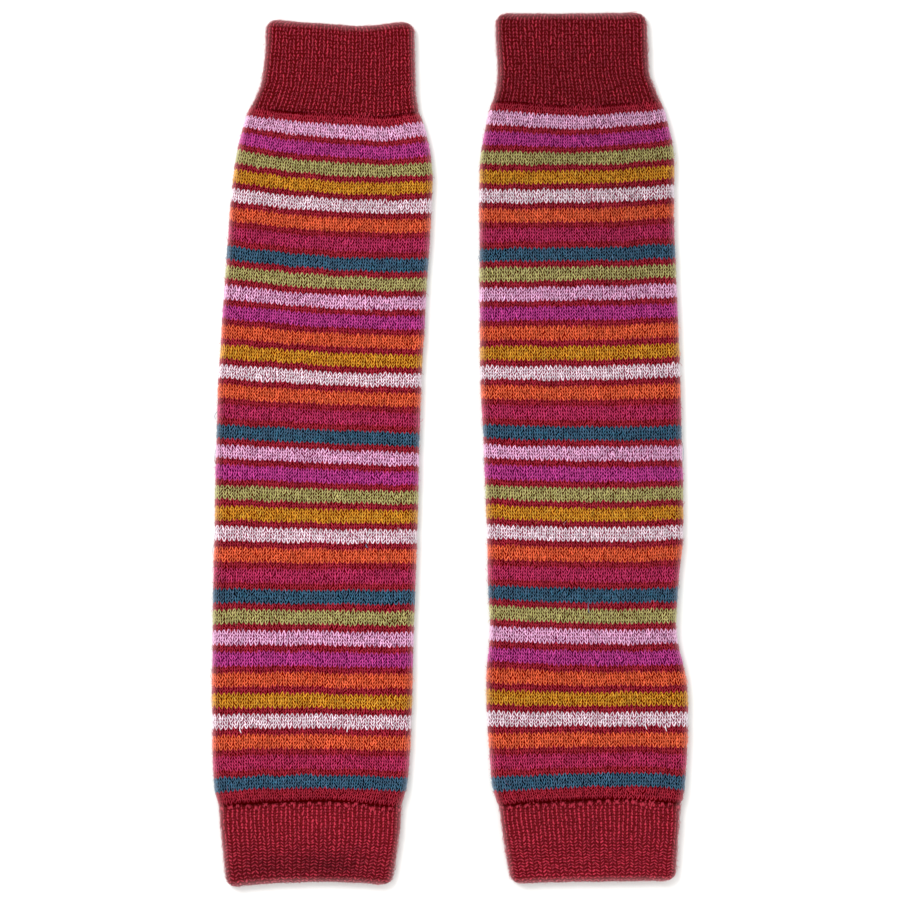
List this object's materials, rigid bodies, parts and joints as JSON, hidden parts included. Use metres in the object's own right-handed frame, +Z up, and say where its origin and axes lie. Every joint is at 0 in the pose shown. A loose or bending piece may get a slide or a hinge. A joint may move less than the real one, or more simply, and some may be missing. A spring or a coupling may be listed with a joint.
{
  "type": "pair of leg warmers",
  "caption": "Pair of knitted leg warmers laid flat side by side: striped open-ended tubes, each with a ribbed cuff at the top and the bottom.",
  "frame": {"origin": "middle of the pair's box, on the surface that it lies on", "axes": "+Y up the legs towards the narrower cuffs, +X across from the left leg warmer to the right one, +Z up off the surface"},
  "size_m": [0.2312, 0.4224, 0.0065],
  "materials": {
    "rib_knit": "matte, slightly fuzzy wool-like yarn in crimson",
    "striped_knit": "matte, slightly fuzzy wool-like yarns, crimson with stripes of pink, purple, green, mustard, white, orange, raspberry and teal"
  },
  "bodies": {
    "root": {"left_top_cuff": "rib_knit", "left_body": "striped_knit", "left_bottom_cuff": "rib_knit", "right_top_cuff": "rib_knit", "right_body": "striped_knit", "right_bottom_cuff": "rib_knit"}
  },
  "joints": []
}
